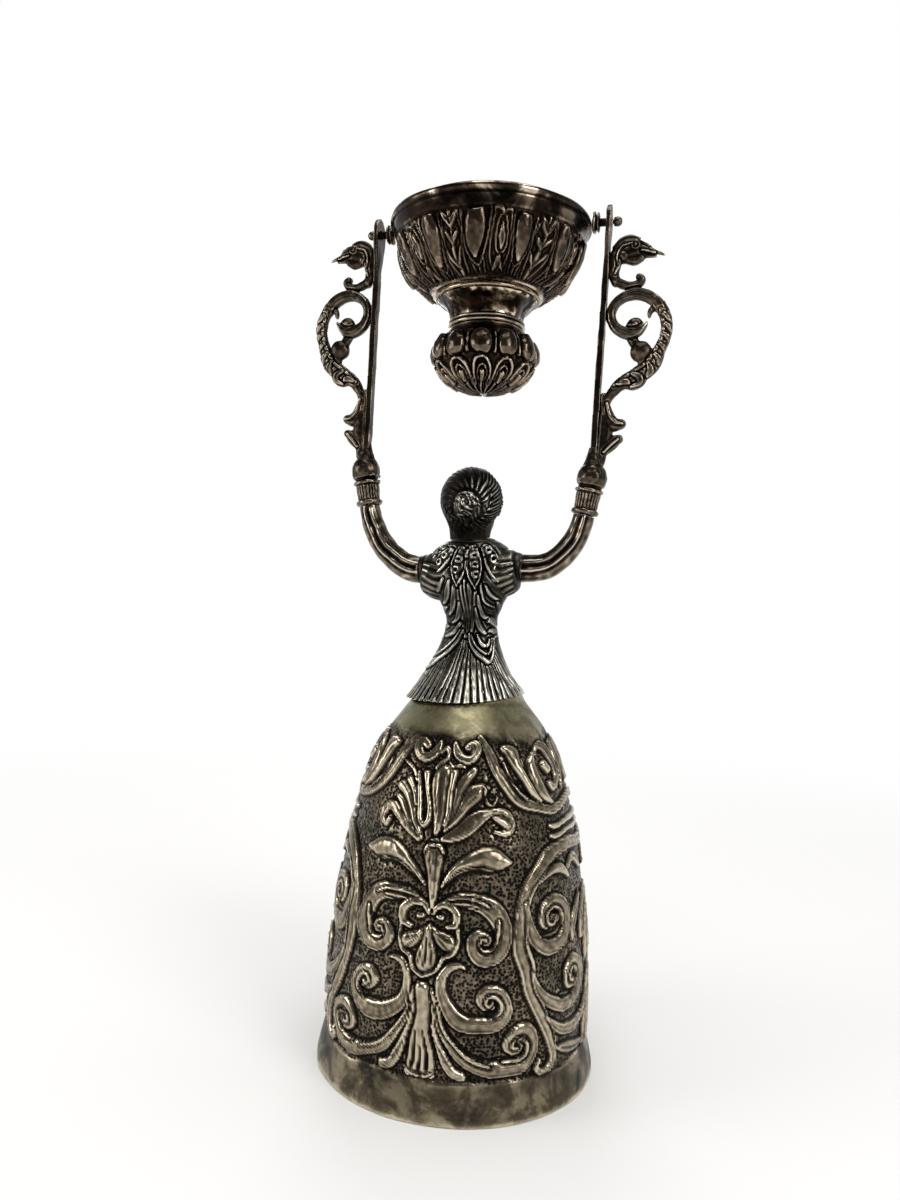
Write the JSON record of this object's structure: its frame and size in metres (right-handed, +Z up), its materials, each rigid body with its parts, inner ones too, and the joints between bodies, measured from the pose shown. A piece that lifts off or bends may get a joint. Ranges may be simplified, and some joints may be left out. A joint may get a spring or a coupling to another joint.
{
  "type": "wager cup",
  "caption": "Silver wager cup: a woman whose bell skirt is the large cup holds up a small bowl that swivels between two bird-headed scroll brackets.",
  "frame": {"origin": "on the skirt's axis, on the surface that the skirt's mouth rests on", "axes": "+Z up the figure to the cup, +Y out of the figure's face, +X out of the bracket on the right when it is seen from behind"},
  "size_m": [0.0911, 0.0678, 0.2092],
  "materials": {
    "chased_silver": "chased, oxidised dark in the ground and burnished on the relief",
    "cast_silver": "cast and chased, oxidised in the hollows, worn bright on the high places",
    "plain_silver": "filed and polished, lightly tarnished",
    "dark_silver": "turned, heavily tarnished",
    "brass_fixings": "turned, dulled",
    "steel_stud": "threaded, dulled"
  },
  "bodies": {
    "figure": {"skirt_bell": "chased_silver", "stud_washer": "brass_fixings", "stud_nut": "brass_fixings", "figure_stud": "steel_stud", "bodice": "cast_silver", "head": "cast_silver", "left_arm": "cast_silver", "right_arm": "cast_silver", "left_hand": "cast_silver", "right_hand": "cast_silver", "left_bracket_bar": "plain_silver", "right_bracket_bar": "plain_silver", "left_bracket_scroll": "cast_silver", "right_bracket_scroll": "cast_silver"},
    "cup": {"cup_bowl": "chased_silver", "cup_joint_wire": "plain_silver", "cup_neck": "plain_silver", "cup_neck_ring": "plain_silver", "cup_bulb": "chased_silver", "left_trunnion": "dark_silver", "right_trunnion": "dark_silver", "left_end_knob": "dark_silver", "right_end_knob": "dark_silver"}
  },
  "joints": [
    {"name": "cup_swivel", "type": "hinge", "parent": "figure", "child": "cup", "pos_m": [0, 0, 0.2053], "axis": [1, 0, 0], "continuous": true}
  ]
}
